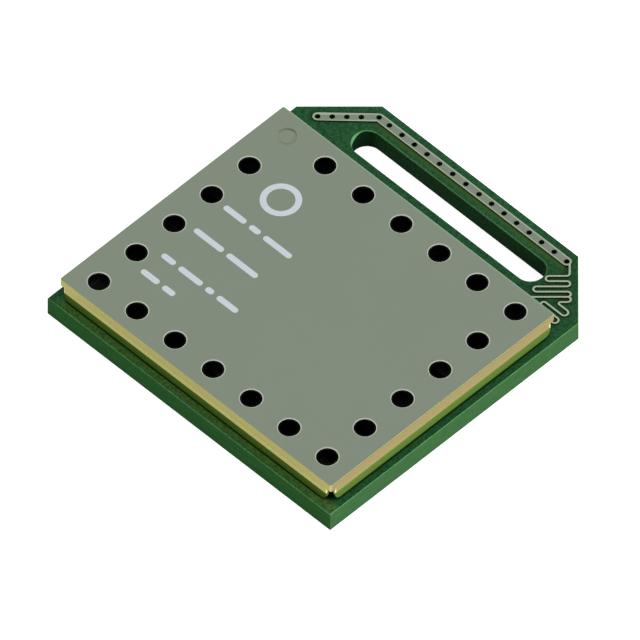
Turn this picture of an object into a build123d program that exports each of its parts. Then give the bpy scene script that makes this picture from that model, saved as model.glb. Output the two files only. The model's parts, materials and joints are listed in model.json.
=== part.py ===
from build123d import *
import math
import os

# Cordless voice module: a small circuit board with a folded shield can over its radio parts
# and an etched antenna beyond the can. X runs along the can's long side, Y points to the
# antenna and Z is up. The origin is under the middle of the board, at its solder pads.

# Circuit board
board_length = 19.96
board_width = 20.667
board_thickness = 1.2
board_left_cut = 3.045
board_right_cut = 3.08
board_edge_break = 0.03
copper_thickness = 0.05

# Slot that runs right through the board beside the antenna strip
slot_length = 13.15
slot_width = 1.613
slot_inset = 2.266

# Shield can, which sits a hair to the left of the board's middle
can_shift = 0.046
can_side_margin = 0.4025
can_near_margin = 0.498
antenna_depth = 4.31
can_height = 1.4
can_sheet = 0.2
can_corner_radius = 0.12
can_bend_radius = 0.05
can_relief_width = 0.32
can_rim_height = 0.45
can_wall_end_radius = 0.45
land_width = 0.35
land_setback = 0.03

# Holes in the can's lid
hole_diameter = 1.08
hole_side_margin = 1.515
hole_end_margin = 1.27
holes_along = 7
holes_across = 6
hole_sides = 20
key_mark_diameter = 1.0
key_mark_depth = 0.04

# Antenna strip with its row of via holes, thick enough to stand clear of the board
antenna_thickness = 0.1
strip_width = 0.515
strip_inset = 0.711
strip_cut_inset = 0.832
strip_cut_turn = 43.5
strip_end_inset = 3.2
via_diameter = 0.31
via_sides = 8
via_close_pitch = 0.73
via_wide_pitch = 0.93
vias_on_cut = 4
vias_on_edge = 15
first_wide_step = 4
wide_steps = 3

# Meander track: runs across the board's corner, then loops beside the can's wall
track_width = 0.1
track_pitch = 0.34
track_start = 0.15
track_drop = 0.94
track_left_short = 1.05
track_left_long = 1.67
track_right_short = 0.17
track_right_long = 0.2
track_bend_radius = 0.09
turn_ease = 0.005
loop_right_inset = 0.745
loop_left_inset = 2.2
loop_wall_gap = 0.285
loop_pitch_wide = 0.387
loop_pitch_narrow = 0.3
feed_land_diameter = 0.46
feed_wall_gap = 0.4
feed_spacing = 0.75

# Solder pads under the board
edge_pad_length = 1.0
edge_pad_width = 0.6
edge_pad_inset = 0.35
edge_pad_pitch = 1.1
side_pads = 12
end_pads = 14
ground_pad_size = 1.6
ground_pad_pitch = 2.6
ground_pads_along = 4
ground_pads_across = 3

# Flat packages under the can, and the room kept between parts and beside the walls
part_gap = 0.3
wall_gap = 0.5
contact_length = 0.4
contact_width = 0.25
contact_height = 0.1
radio_chip_size = 7.0
radio_chip_height = 0.85
radio_chip_contacts = 8
radio_chip_pitch = 0.65
radio_chip_pad = 4.6
amplifier_size = 3.0
amplifier_height = 0.75
amplifier_contacts = 4
amplifier_pitch = 0.5
amplifier_pad = 1.6
switch_size = 2.0
switch_height = 0.6
switch_contacts = 3
switch_pitch = 0.5
switch_pad = 0.8
memory_length = 4.0
memory_width = 3.0
memory_height = 0.6
memory_contacts = 4
memory_pitch = 0.65
memory_pad = 2.0
regulator_size = 2.1
regulator_height = 0.75
regulator_contacts = 3
regulator_pitch = 0.6
regulator_pad = 0.9

# Crystal and supply coil
crystal_length = 3.2
crystal_width = 2.5
crystal_base_height = 0.45
crystal_lid_height = 0.25
crystal_lid_setback = 0.2
crystal_corner_cut = 0.25
coil_length = 2.5
coil_width = 2.05
coil_height = 1.0
coil_end_length = 0.5

# Chip parts, each with a metal cap at both ends
body_setback = 0.02
small_part_length = 1.0
small_part_width = 0.5
small_part_pitch = 0.9
small_end_length = 0.22
small_capacitor_height = 0.5
matching_inductor_height = 0.45
resistor_height = 0.35
large_part_length = 1.6
large_part_width = 0.8
large_part_pitch = 1.3
large_end_length = 0.35
large_capacitor_height = 0.8
balun_height = 0.6
filter_length = 2.0
filter_width = 1.25
filter_height = 0.9
filter_end_length = 0.38

# Levels and edges worked out from the sizes above
board_bottom = copper_thickness
board_top = board_bottom + board_thickness
can_foot = board_top + copper_thickness
can_top = board_top + can_height
board_right = board_length / 2
board_far = board_width / 2
can_right = board_right - can_side_margin
can_near = can_near_margin - board_far
can_far = board_far - antenna_depth
can_length = 2 * can_right
can_width = can_far - can_near
can_middle = (can_far + can_near) / 2
room_right = can_right - can_sheet - wall_gap
room_near = can_near + can_sheet + wall_gap
room_far = can_far - can_sheet - wall_gap
diagonal_step = 0.5**0.5

# The strip's centre line follows the cut corner, then the board's far edge
strip_y = board_far - strip_inset
strip_rise = board_right + board_far - board_left_cut - strip_cut_inset / diagonal_step
strip_corner_x = strip_y - strip_rise
strip_end_x = board_right - strip_end_inset
plain_run = strip_end_x - strip_corner_x - via_close_pitch - wide_steps * via_wide_pitch
via_pitch = plain_run / (vias_on_edge - 1 - wide_steps)
cut_run = (vias_on_cut - 1) * via_close_pitch + via_pitch
cut_step_x = math.cos(math.radians(strip_cut_turn))
cut_step_y = math.sin(math.radians(strip_cut_turn))
via_places = [(strip_corner_x, strip_y)]
for i in range(vias_on_cut):
    back = cut_run - i * via_close_pitch
    via_places.append((strip_corner_x - back * cut_step_x, strip_y - back * cut_step_y))
via_x = strip_corner_x + via_close_pitch
for i in range(vias_on_edge):
    via_places.append((via_x, strip_y))
    wide = first_wide_step <= i < first_wide_step + wide_steps
    via_x += via_wide_pitch if wide else via_pitch


def strip_outline():
    """Draw the strip's two straight runs with round ends in the current sketch."""
    half_x = strip_corner_x - cut_run / 2 * cut_step_x
    half_y = strip_y - cut_run / 2 * cut_step_y
    with Locations(Location((half_x, half_y, 0), (0, 0, strip_cut_turn))):
        SlotCenterToCenter(cut_run, strip_width)
    with Locations(((strip_corner_x + strip_end_x) / 2, strip_y)):
        SlotCenterToCenter(strip_end_x - strip_corner_x, strip_width)


def via_holes(mode=Mode.ADD):
    """Draw the row of via holes, each as a circle with a few flat sides."""
    with Locations(*via_places):
        RegularPolygon(via_diameter / 2, via_sides, mode=mode)


# Circuit board
with BuildPart() as circuit_board:
    with BuildSketch(Plane.XY.offset(board_bottom)):
        with BuildLine():
            Polyline(
                (-board_right, -board_far),
                (board_right, -board_far),
                (board_right, board_far - board_right_cut),
                (board_right - board_right_cut, board_far),
                (board_left_cut - board_right, board_far),
                (-board_right, board_far - board_left_cut),
                close=True,
            )
        make_face()
        with Locations((0, board_far - slot_inset)):
            SlotOverall(slot_length, slot_width, mode=Mode.SUBTRACT)
    extrude(amount=board_thickness)
    chamfer(circuit_board.faces().sort_by(Axis.Z)[-1].edges(), board_edge_break)
    with BuildSketch(Plane.XY.offset(board_bottom)):
        via_holes()
    extrude(amount=board_thickness, mode=Mode.SUBTRACT)

circuit_board.part.label = "circuit_board"

# Hole places round the lid: every place on the rim of a grid, apart from the key corner
hole_span_x = can_length - 2 * hole_side_margin
hole_span_y = can_width - 2 * hole_end_margin
key_place = (-can_shift - hole_span_x / 2, can_middle + hole_span_y / 2)
hole_places = []
for i in range(holes_along):
    for j in range(holes_across):
        on_rim = i in (0, holes_along - 1) or j in (0, holes_across - 1)
        at_key = i == 0 and j == holes_across - 1
        if on_rim and not at_key:
            hole_x = hole_span_x * (i / (holes_along - 1) - 0.5) - can_shift
            hole_y = can_middle + hole_span_y * (j / (holes_across - 1) - 0.5)
            hole_places.append((hole_x, hole_y))

# Shield can: one sheet, folded down on four sides
with BuildPart() as shield_can:
    with BuildSketch(Plane.XY.offset(can_foot)):
        with Locations((-can_shift, can_middle)):
            RectangleRounded(can_length, can_width, can_corner_radius)
    extrude(amount=can_top - can_foot)
    fillet(shield_can.faces().sort_by(Axis.Z)[-1].edges(), can_bend_radius)
    with BuildSketch(Plane.XY.offset(can_foot)):
        with Locations((-can_shift, can_middle)):
            Rectangle(can_length - 2 * can_sheet, can_width - 2 * can_sheet)
    extrude(amount=can_top - can_sheet - can_foot, mode=Mode.SUBTRACT)
    # Open relief under the rim at each corner, between two walls
    with BuildSketch(Plane.XY.offset(can_foot)):
        with Locations((-can_shift, can_middle)):
            with GridLocations(can_length, can_width, 2, 2):
                Rectangle(2 * can_relief_width, 2 * can_relief_width)
    extrude(amount=can_top - can_rim_height - can_foot, mode=Mode.SUBTRACT)
    wall_feet = shield_can.faces().filter_by(Axis.Z).sort_by(Axis.Z)[:4].edges()
    wall_corners = wall_feet.filter_by(lambda edge: edge.length < 1.5 * can_sheet)
    fillet(wall_corners, can_wall_end_radius)
    # Round holes through the lid, and a shallow round mark at the key corner
    with BuildSketch(Plane.XY.offset(can_top)):
        with Locations(*hole_places):
            RegularPolygon(hole_diameter / 2, hole_sides)
    extrude(amount=-can_sheet, mode=Mode.SUBTRACT)
    with BuildSketch(Plane.XY.offset(can_top)):
        with Locations(key_place):
            RegularPolygon(key_mark_diameter / 2, hole_sides)
    extrude(amount=-key_mark_depth, mode=Mode.SUBTRACT)

shield_can.part.label = "shield_can"

# Solder lands under the can's four walls
with BuildPart() as can_lands:
    with BuildSketch(Plane.XY.offset(board_top)):
        land_reach = land_setback + land_width / 2
        land_end = can_relief_width + can_wall_end_radius
        with Locations((-can_shift, can_middle)):
            with GridLocations(0, can_width - 2 * land_reach, 1, 2):
                Rectangle(can_length - 2 * land_end, land_width)
            with GridLocations(can_length - 2 * land_reach, 0, 2, 1):
                Rectangle(land_width, can_width - 2 * land_end)
    extrude(amount=copper_thickness)

can_lands.part.label = "can_lands"

# Meander track's route, first on lines turned 45 degrees, measured from the strip's end
run_levels = [track_drop + i * track_pitch for i in range(6)]


def turned(along, down):
    """A point along the turned runs, and down across them towards the board's corner."""
    x = strip_end_x + (along + down) * diagonal_step
    y = strip_y + (along - down) * diagonal_step
    return (x, y)


feed_y = can_far + feed_wall_gap
feed_x = feed_y + strip_end_x - strip_y + run_levels[4] / diagonal_step
corner_route = [
    turned(track_start, 0),
    turned(track_start, run_levels[0]),
    turned(-track_left_short, run_levels[0]),
    turned(-track_left_short, run_levels[1]),
    turned(track_right_short, run_levels[1]),
    turned(track_right_short, run_levels[2]),
    turned(-track_left_long, run_levels[2]),
    turned(-track_left_long, run_levels[3]),
    turned(track_right_long, run_levels[3]),
    turned(track_right_long, run_levels[4]),
    (feed_x, feed_y),
]
corner_turn = track_pitch / 2 - turn_ease

# Then loops parallel to the can's wall, from the fork on the last turned run to a ground via
loop_right = board_right - loop_right_inset
loop_left = board_right - loop_left_inset
loop_1 = can_far + loop_wall_gap
loop_2 = loop_1 + loop_pitch_wide
loop_3 = loop_2 + loop_pitch_narrow
loop_4 = loop_3 + loop_pitch_wide
bend_x = loop_4 + strip_end_x - strip_y + run_levels[5] / diagonal_step
ground_x = feed_x + feed_spacing
wall_route = [
    turned(0, run_levels[4]),
    turned(track_right_long, run_levels[4]),
    turned(track_right_long, run_levels[5]),
    (bend_x, loop_4),
    (loop_right, loop_4),
    (loop_right, loop_3),
    (loop_left, loop_3),
    (loop_left, loop_2),
    (loop_right, loop_2),
    (loop_right, loop_1),
    (ground_x, loop_1),
]
wide_turn = loop_pitch_wide / 2 - turn_ease
narrow_turn = loop_pitch_narrow / 2 - turn_ease
wall_turns = [corner_turn] * 2 + [track_bend_radius] + [wide_turn] * 2
wall_turns += [narrow_turn] * 2 + [wide_turn] * 2

# Printed antenna: strip, meander track and via lands, etched as one conductor
with BuildPart() as printed_antenna:
    with BuildSketch(Plane.XY.offset(board_top)):
        strip_outline()
        with BuildLine() as corner_track:
            FilletPolyline(*corner_route, radius=corner_turn)
        trace(corner_track.line, line_width=track_width)
        with BuildLine() as wall_track:
            FilletPolyline(*wall_route, radius=wall_turns)
        trace(wall_track.line, line_width=track_width)
        with Locations((feed_x, feed_y), (ground_x, loop_1)):
            Circle(feed_land_diameter / 2)
        via_holes(mode=Mode.SUBTRACT)
    extrude(amount=antenna_thickness)

printed_antenna.part.label = "printed_antenna"

# Strip on the underside that the via holes join to the upper one
with BuildPart() as antenna_back_strip:
    with BuildSketch(Plane.XY):
        strip_outline()
        via_holes(mode=Mode.SUBTRACT)
    extrude(amount=copper_thickness)

antenna_back_strip.part.label = "antenna_back_strip"

# Solder pads round the underside, below the can
with BuildPart() as edge_pads:
    with BuildSketch(Plane.XY):
        pad_reach = edge_pad_inset + edge_pad_length / 2
        with Locations((0, can_middle)):
            with GridLocations(2 * (board_right - pad_reach), edge_pad_pitch, 2, side_pads):
                Rectangle(edge_pad_length, edge_pad_width)
        near_row = pad_reach - board_far
        far_row = can_far - pad_reach
        with Locations((0, (near_row + far_row) / 2)):
            with GridLocations(edge_pad_pitch, far_row - near_row, end_pads, 2):
                Rectangle(edge_pad_width, edge_pad_length)
    extrude(amount=copper_thickness)

edge_pads.part.label = "edge_pads"

# Ground pads in the middle of the underside
with BuildPart() as ground_pads:
    with BuildSketch(Plane.XY):
        with Locations((0, can_middle)):
            with GridLocations(ground_pad_pitch, ground_pad_pitch, ground_pads_along, ground_pads_across):
                Rectangle(ground_pad_size, ground_pad_size)
    extrude(amount=copper_thickness)

ground_pads.part.label = "ground_pads"

# Places under the can, measured from the radio chip in the middle and from the walls
chip_side = radio_chip_size / 2
chip_near = can_middle - chip_side
chip_far = can_middle + chip_side
lower_station = can_middle - (room_far - room_near) / 7
upper_station = can_middle + (room_far - room_near) / 7


def contact_outline(place, length, width, sides, per_side, pitch, pad):
    """Draw a package's contacts and its square middle pad in the current sketch."""
    for turn in sides:
        reach = (length if turn % 180 == 0 else width) / 2 - contact_length / 2
        side = Location((place[0], place[1], 0), (0, 0, turn))
        for i in range(per_side):
            with Locations(side * Location((reach, (i - (per_side - 1) / 2) * pitch, 0))):
                Rectangle(contact_length, contact_width)
    with Locations(place):
        Rectangle(pad, pad)


def flat_package(name, place, length, width, height, sides, per_side, pitch, pad):
    """A moulded package that lies flat on the board, and the contacts that it stands on."""
    with BuildPart() as body:
        with BuildSketch(Plane.XY.offset(board_top + contact_height)):
            with Locations(place):
                Rectangle(length, width)
        extrude(amount=height - contact_height)
    body.part.label = name
    with BuildPart() as metal:
        with BuildSketch(Plane.XY.offset(board_top)):
            contact_outline(place, length, width, sides, per_side, pitch, pad)
        extrude(amount=contact_height)
    metal.part.label = name + "_contacts"
    return [body.part, metal.part]


all_sides = (0, 90, 180, 270)
two_ends = (0, 180)
amplifier_place = (room_right - amplifier_size / 2, lower_station)
switch_place = (room_right - switch_size / 2, room_far - switch_size / 2)
memory_place = (memory_length / 2 - room_right, room_far - memory_width / 2)
regulator_place = (regulator_size / 2 - room_right, lower_station)

packages = flat_package(
    "radio_chip", (0, can_middle), radio_chip_size, radio_chip_size, radio_chip_height,
    all_sides, radio_chip_contacts, radio_chip_pitch, radio_chip_pad,
)
packages += flat_package(
    "power_amplifier", amplifier_place, amplifier_size, amplifier_size, amplifier_height,
    all_sides, amplifier_contacts, amplifier_pitch, amplifier_pad,
)
packages += flat_package(
    "antenna_switch", switch_place, switch_size, switch_size, switch_height,
    two_ends, switch_contacts, switch_pitch, switch_pad,
)
packages += flat_package(
    "flash_memory", memory_place, memory_length, memory_width, memory_height,
    two_ends, memory_contacts, memory_pitch, memory_pad,
)
packages += flat_package(
    "voltage_regulator", regulator_place, regulator_size, regulator_size, regulator_height,
    two_ends, regulator_contacts, regulator_pitch, regulator_pad,
)

# Crystal: a ceramic tub with a metal lid, between the radio chip and the near wall
crystal_place = (0, (room_near + chip_near) / 2)
with BuildPart() as crystal_base:
    with BuildSketch(Plane.XY.offset(board_top)):
        with Locations(crystal_place):
            Rectangle(crystal_length, crystal_width)
    extrude(amount=crystal_base_height)
    chamfer(crystal_base.edges().filter_by(Axis.Z), crystal_corner_cut)

crystal_base.part.label = "crystal_base"

with BuildPart() as crystal_lid:
    with BuildSketch(Plane.XY.offset(board_top + crystal_base_height)):
        with Locations(crystal_place):
            lid_length = crystal_length - 2 * crystal_lid_setback
            Rectangle(lid_length, crystal_width - 2 * crystal_lid_setback)
    extrude(amount=crystal_lid_height)
    chamfer(crystal_lid.edges().filter_by(Axis.Z), crystal_corner_cut)

crystal_lid.part.label = "crystal_lid"


def capped_parts(name, end_name, places, size, end_length):
    """Chip parts of one size: their bodies, and the metal caps at both ends of each."""
    length, width, height = size
    with BuildPart() as bodies:
        with BuildSketch(Plane.XY.offset(board_top)):
            with Locations(*places):
                Rectangle(length - 2 * end_length, width - 2 * body_setback)
        extrude(amount=height - body_setback)
    bodies.part.label = name
    with BuildPart() as ends:
        with BuildSketch(Plane.XY.offset(board_top)):
            with Locations(*places):
                with GridLocations(length - end_length, 0, 2, 1):
                    Rectangle(end_length, width)
        extrude(amount=height)
    ends.part.label = end_name
    return [bodies.part, ends.part]


def lengthwise(x, y):
    """The place of a part that lies along X."""
    return Location((x, y, 0))


def crosswise(x, y):
    """The place of a part that lies along Y."""
    return Location((x, y, 0), (0, 0, 90))


# Small capacitors stand in rows round the radio chip
side_column = chip_side + part_gap + small_part_length / 2
far_row_y = chip_far + part_gap + small_part_length / 2
near_row_y = chip_near - part_gap - small_part_length / 2
beside_crystal = crystal_length / 2 + part_gap + small_part_width / 2
near_columns = []
for i in range(3):
    near_columns += [beside_crystal + i * small_part_pitch, -beside_crystal - i * small_part_pitch]
capacitor_places = [crosswise(x, near_row_y) for x in near_columns]
capacitor_places += [crosswise(i * small_part_pitch, far_row_y) for i in range(-3, 4)]
for i in range(-2, 3):
    capacitor_places.append(lengthwise(-side_column, can_middle + i * small_part_pitch))
for i in range(2):
    capacitor_places.append(lengthwise(side_column, upper_station + i * small_part_pitch))

# Resistors and matching inductors stand in rows along the walls
near_wall_y = room_near + small_part_length / 2
far_wall_y = room_far - small_part_length / 2
resistor_places = [crosswise(x, near_wall_y) for x in near_columns]
resistor_places += [crosswise(-i * small_part_pitch, far_wall_y) for i in range(4)]
inductor_places = [crosswise(i * small_part_pitch, far_wall_y) for i in range(1, 6)]

# Large capacitors stand beside the memory chip and in the corner below the amplifier
large_column = room_right - large_part_length / 2
large_places = []
for i in range(2):
    large_places.append(lengthwise(-large_column, upper_station - i * large_part_pitch))
    corner_y = room_near + large_part_width / 2 + i * large_part_pitch
    large_places.append(lengthwise(large_column, corner_y))
balun_x = chip_side + part_gap + large_part_width / 2
filter_place = (room_right - filter_length / 2, upper_station)
coil_place = (coil_length / 2 - room_right, room_near + coil_width / 2)

chip_parts = capped_parts(
    "small_capacitors", "small_capacitor_ends", capacitor_places,
    (small_part_length, small_part_width, small_capacitor_height), small_end_length,
)
chip_parts += capped_parts(
    "resistors", "resistor_ends", resistor_places,
    (small_part_length, small_part_width, resistor_height), small_end_length,
)
chip_parts += capped_parts(
    "matching_inductors", "matching_inductor_ends", inductor_places,
    (small_part_length, small_part_width, matching_inductor_height), small_end_length,
)
chip_parts += capped_parts(
    "large_capacitors", "large_capacitor_ends", large_places,
    (large_part_length, large_part_width, large_capacitor_height), large_end_length,
)
chip_parts += capped_parts(
    "balun", "balun_ends", [crosswise(balun_x, lower_station)],
    (large_part_length, large_part_width, balun_height), large_end_length,
)
chip_parts += capped_parts(
    "band_filter", "band_filter_ends", [lengthwise(*filter_place)],
    (filter_length, filter_width, filter_height), filter_end_length,
)
chip_parts += capped_parts(
    "supply_coil", "supply_coil_ends", [lengthwise(*coil_place)],
    (coil_length, coil_width, coil_height), coil_end_length,
)

# Write one file for each piece
pieces = [
    circuit_board.part,
    shield_can.part,
    can_lands.part,
    printed_antenna.part,
    antenna_back_strip.part,
    edge_pads.part,
    ground_pads.part,
    crystal_base.part,
    crystal_lid.part,
]
os.makedirs("parts", exist_ok=True)
for piece in pieces + packages + chip_parts:
    export_step(piece, f"parts/{piece.label}.step")
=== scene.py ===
import json
import math

import bpy
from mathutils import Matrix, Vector


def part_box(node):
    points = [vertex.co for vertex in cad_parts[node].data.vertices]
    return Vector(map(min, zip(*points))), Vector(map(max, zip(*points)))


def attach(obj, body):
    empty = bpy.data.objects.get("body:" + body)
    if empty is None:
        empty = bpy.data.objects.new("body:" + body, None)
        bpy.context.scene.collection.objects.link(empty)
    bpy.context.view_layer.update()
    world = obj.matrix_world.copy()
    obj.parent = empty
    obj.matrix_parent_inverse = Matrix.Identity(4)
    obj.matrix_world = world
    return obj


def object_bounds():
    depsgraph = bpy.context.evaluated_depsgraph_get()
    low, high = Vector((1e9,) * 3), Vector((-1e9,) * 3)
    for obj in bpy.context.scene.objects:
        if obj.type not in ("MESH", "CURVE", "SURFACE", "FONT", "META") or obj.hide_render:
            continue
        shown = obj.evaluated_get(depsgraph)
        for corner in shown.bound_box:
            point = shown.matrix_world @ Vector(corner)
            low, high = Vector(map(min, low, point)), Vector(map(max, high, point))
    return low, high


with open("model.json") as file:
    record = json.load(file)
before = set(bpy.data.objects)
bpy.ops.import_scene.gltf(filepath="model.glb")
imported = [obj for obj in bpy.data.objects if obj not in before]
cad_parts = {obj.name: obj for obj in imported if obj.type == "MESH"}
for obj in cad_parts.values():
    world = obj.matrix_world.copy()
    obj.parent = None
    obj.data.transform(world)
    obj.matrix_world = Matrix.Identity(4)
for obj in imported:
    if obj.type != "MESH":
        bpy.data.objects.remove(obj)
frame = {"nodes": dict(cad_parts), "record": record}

cad_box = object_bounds()
mm = 0.001

# Edges of the main pieces, from the frame
board_low, board_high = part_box("circuit_board")
can_low, can_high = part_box("shield_can")
strip_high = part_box("printed_antenna")[1]
can_middle = (can_low + can_high) / 2

# Holes in the lid, as in the part's own source
hole_radius = 0.54 * mm
hole_side_margin = 1.515 * mm
hole_end_margin = 1.27 * mm
holes_along = 7
holes_across = 6
key_mark_radius = 0.5 * mm
sheet = 0.2 * mm

# Rolled edges of the holes: a dark ring of painted shade that widens each hole's dark edge, with a pale rim
# round it that is a painted highlight, each a little off the hole's centre
shade_ring_radius = hole_radius + 0.032 * mm
shade_ring_shift = (0.026 * mm, -0.031 * mm)
shade_ring_width = 0.1 * mm
shade_ring_rise = 0.0042 * mm
rim_radius = shade_ring_radius + 0.046 * mm
rim_shift = (0.006 * mm, -0.009 * mm)
rim_rise = 0.006 * mm
rim_sink = 0.01 * mm

# Plain printed marks on the lid, in millimetres: a ring, and rows of dashes by their place and lengths
mark_left = -7.1
mark_gap = 0.3
mark_rows = [
    (-0.7, (1.5, 0.7, 1.9)),
    (-2.8, (2.0, 2.1)),
    (-5.1, (0.9, 1.6, 0.5, 1.4)),
    (-6.55, (1.2, 0.8)),
]
mark_ring = (-5.4, 1.6)
mark_ring_radius = 0.9
mark_width = 0.34
mark_rise = 0.006

# Points of a plate that are closer than this are joined
weld_distance = 0.0001 * mm

# Heights at which the can's walls turn from a green foot, which is a painted reflection of the board, to
# warm metal, and then to a mirror
wall_line = 1.825 * mm
mirror_line = 2.12 * mm

# How far below the lid's top the open reliefs at the can's corners end
relief_drop = 0.4 * mm

# Slot through the board, and how deep the painted light on its left end reaches
slot_length = 13.15 * mm
slot_width = 1.613 * mm
slot_inset = 2.266 * mm
lit_depth = 0.55 * mm

# Antenna strip and its row of via holes
strip_width = 0.515 * mm
strip_inset = 0.711 * mm
strip_end_inset = 3.2 * mm
board_left_cut = 3.045 * mm
strip_cut_inset = 0.832 * mm
strip_cut_turn = math.radians(43.5)
via_radius = 0.155 * mm
barrel_share = 0.94
barrel_gap = 0.02 * mm
via_close_pitch = 0.73 * mm
via_wide_pitch = 0.93 * mm
vias_on_cut = 4
vias_on_edge = 15
first_wide_step = 4
wide_steps = 3

# The photograph's view: no perspective, and the board's corner towards the camera
view_azimuth = 44.925
view_elevation = 50.3
picture_width = 32 * mm
picture_right = -0.74 * mm
picture_up = -0.508 * mm
camera_distance = 0.2

# Studio, in metres: a floor that glows, a pale surround that the camera sees brighter, and one lamp
floor_size = 1.2
floor_gap = 0.01 * mm
floor_glow = 0.8
glow_reach = 0.1 * mm
surround_strength = 0.78
backdrop_gain = 0.25
lamp_size = (0.7, 0.2)
lamp_power = 5.5
lamp_place = (0.6, 0.06, 0.17)


def colour(red, green, blue):
    """A colour on the screen's scale of 0 to 255, as the linear values that shaders take."""
    linear = []
    for level in (red, green, blue):
        share = level / 255
        linear.append(share / 12.92 if share < 0.04045 else ((share + 0.055) / 1.055) ** 2.4)
    return (*linear, 1.0)


def via_places():
    """The places of the via holes, worked out as in the part's own source."""
    strip_y = board_high.y - strip_inset
    rise = board_high.x + board_high.y - board_left_cut - strip_cut_inset * math.sqrt(2)
    corner_x = strip_y - rise
    end_x = board_high.x - strip_end_inset
    plain_run = end_x - corner_x - via_close_pitch - wide_steps * via_wide_pitch
    pitch = plain_run / (vias_on_edge - 1 - wide_steps)
    places = [(corner_x, strip_y)]
    for i in range(vias_on_cut):
        back = (vias_on_cut - 1 - i) * via_close_pitch + pitch
        step_x = back * math.cos(strip_cut_turn)
        step_y = back * math.sin(strip_cut_turn)
        places.append((corner_x - step_x, strip_y - step_y))
    x = corner_x + via_close_pitch
    for i in range(vias_on_edge):
        places.append((x, strip_y))
        wide = first_wide_step <= i < first_wide_step + wide_steps
        x += via_wide_pitch if wide else pitch
    return places


# Node helpers

def add_node(tree, kind, inputs=None, **settings):
    """Add a node, set it, and give each named input a value or a link."""
    node = tree.nodes.new(kind)
    for name, value in settings.items():
        setattr(node, name, value)
    for name, value in (inputs or {}).items():
        if isinstance(value, bpy.types.NodeSocket):
            tree.links.new(value, node.inputs[name])
        else:
            node.inputs[name].default_value = value
    return node


def calculate(tree, operation, *values, clamp=False):
    """Add a Math node on one to three values or sockets, and return its result."""
    node = add_node(tree, "ShaderNodeMath", dict(enumerate(values)), operation=operation)
    node.use_clamp = clamp
    return node.outputs[0]


def mix_colours(tree, share, first, second):
    """Blend from the first colour to the second, and return the result."""
    node = add_node(tree, "ShaderNodeMix", {0: share, 6: first, 7: second}, data_type="RGBA")
    return node.outputs[2]


def mix_values(tree, share, first, second):
    """Blend from the first value to the second, and return the result."""
    node = add_node(tree, "ShaderNodeMix", {0: share, 2: first, 3: second}, data_type="FLOAT")
    return node.outputs[0]


def soft_step(tree, value, low, high):
    """Rise smoothly from 0 to 1 as the value goes from low to high."""
    inputs = {"Value": value, "From Min": low, "From Max": high}
    node = add_node(tree, "ShaderNodeMapRange", inputs, interpolation_type="SMOOTHSTEP")
    return node.outputs[0]


def new_group(name, inputs, outputs):
    """An empty shader node group with named sockets, and its two end nodes."""
    group = bpy.data.node_groups.new(name, "ShaderNodeTree")
    for socket_name, kind in outputs.items():
        group.interface.new_socket(socket_name, in_out="OUTPUT", socket_type="NodeSocket" + kind)
    for socket_name, (kind, value) in inputs.items():
        socket = group.interface.new_socket(socket_name, in_out="INPUT", socket_type="NodeSocket" + kind)
        if value is not None:
            socket.default_value = value
    return group, group.nodes.new("NodeGroupInput"), group.nodes.new("NodeGroupOutput")


def use_group(tree, group, **inputs):
    """Place a node group in a material and give its inputs."""
    node = tree.nodes.new("ShaderNodeGroup")
    node.node_tree = group
    for name, value in inputs.items():
        socket = node.inputs[name.replace("_", " ").capitalize()]
        if isinstance(value, bpy.types.NodeSocket):
            tree.links.new(value, socket)
        else:
            socket.default_value = value
    return node.outputs


def new_material(name, roughness=0.5, metallic=0.0, specular=0.5):
    """A material with one Principled shader and a place in millimetres to build on."""
    material = bpy.data.materials.new(name)
    material.use_nodes = True
    tree = material.node_tree
    shader = tree.nodes["Principled BSDF"]
    shader.inputs["Roughness"].default_value = roughness
    shader.inputs["Metallic"].default_value = metallic
    shader.inputs["Specular IOR Level"].default_value = specular
    source = add_node(tree, "ShaderNodeTexCoord").outputs["Object"]
    inputs = {0: source, "Scale": 1 / mm}
    place = add_node(tree, "ShaderNodeVectorMath", inputs, operation="SCALE").outputs[0]
    return material, tree, shader, place


def raise_surface(tree, shader, height, depth):
    """Bump the shader's surface by a height from 0 to 1, over a depth in metres."""
    bump = add_node(tree, "ShaderNodeBump", {"Height": height, "Distance": depth, "Strength": 1.0})
    tree.links.new(bump.outputs[0], shader.inputs["Normal"])


# Effects that several finishes share

def make_grain():
    """Fine uneven grain: Size is in millimetres, and Spread sets how far it swings round 0.5."""
    inputs = {"Place": ("Vector", None), "Size": ("Float", 0.1), "Spread": ("Float", 1.0)}
    group, start, end = new_group("Grain", inputs, {"Grain": "Float"})
    scale = calculate(group, "DIVIDE", 1.0, start.outputs["Size"])
    noise_inputs = {"Vector": start.outputs["Place"], "Scale": scale, "Detail": 3.0, "Roughness": 0.6}
    noise = add_node(group, "ShaderNodeTexNoise", noise_inputs).outputs[0]
    swing = calculate(group, "SUBTRACT", noise, 0.5)
    spread = calculate(group, "MULTIPLY", start.outputs["Spread"], 2.0)
    grain = calculate(group, "MULTIPLY_ADD", swing, spread, 0.5, clamp=True)
    group.links.new(grain, end.inputs["Grain"])
    return group


def make_facing():
    """Which way a face looks: Up, Side, Slope for broken edges, Right to +X and Far to +Y."""
    names = ("Up", "Side", "Slope", "Right", "Far")
    outputs = {name: "Float" for name in names}
    group, _, end = new_group("Facing", {}, outputs)
    normal = add_node(group, "ShaderNodeNewGeometry").outputs["Normal"]
    parts = add_node(group, "ShaderNodeSeparateXYZ", {0: normal}).outputs
    height = parts["Z"]
    group.links.new(soft_step(group, parts["X"], 0.5, 1.0), end.inputs["Right"])
    group.links.new(soft_step(group, parts["Y"], 0.2, 0.6), end.inputs["Far"])
    up = soft_step(group, height, 0.55, 0.95)
    down = soft_step(group, height, -0.55, -0.95)
    upright = calculate(group, "SUBTRACT", 1.0, calculate(group, "ADD", up, down), clamp=True)
    steep = soft_step(group, height, 0.3, 0.6)
    slope = calculate(group, "MULTIPLY", steep, soft_step(group, height, 0.97, 0.8))
    group.links.new(slope, end.inputs["Slope"])
    group.links.new(up, end.inputs["Up"])
    group.links.new(upright, end.inputs["Side"])
    return group


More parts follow.
